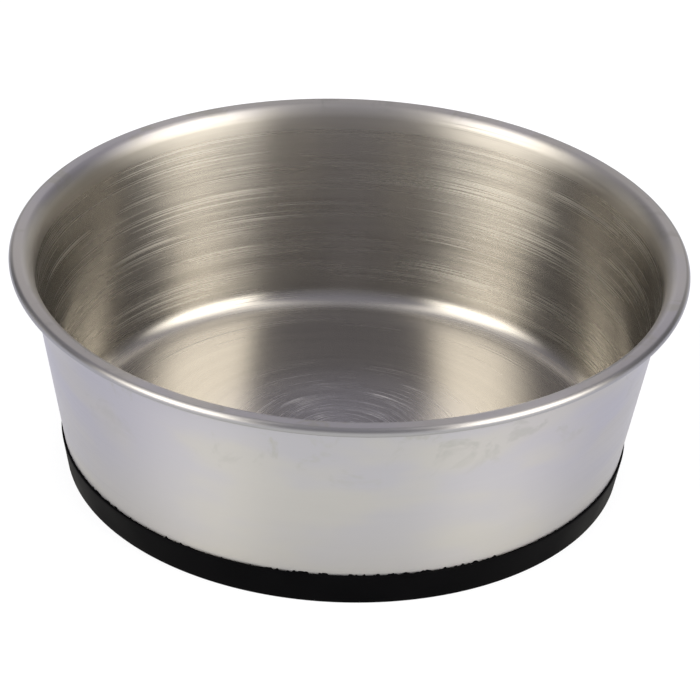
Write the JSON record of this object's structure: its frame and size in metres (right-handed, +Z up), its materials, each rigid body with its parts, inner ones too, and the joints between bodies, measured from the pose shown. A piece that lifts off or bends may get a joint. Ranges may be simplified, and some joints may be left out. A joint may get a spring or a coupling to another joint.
{
  "type": "dog bowl",
  "caption": "Round stainless steel pet bowl with a leaning wall, a narrow lip hemmed at its edge and a bonded black rubber ring round its foot.",
  "frame": {"origin": "centre of the bowl's axis at the face that rests on the table", "axes": "+Z up along the bowl's axis, out of its mouth; the picture looks along +Y and down"},
  "size_m": [0.2032, 0.2032, 0.0696],
  "materials": {
    "steel": "satin, brushed round the axis inside",
    "rubber": "matt moulded",
    "adhesive": "cured film"
  },
  "bodies": {
    "root": {"bowl_shell": "steel", "rubber_base": "rubber", "bond_layer": "adhesive"}
  },
  "joints": []
}
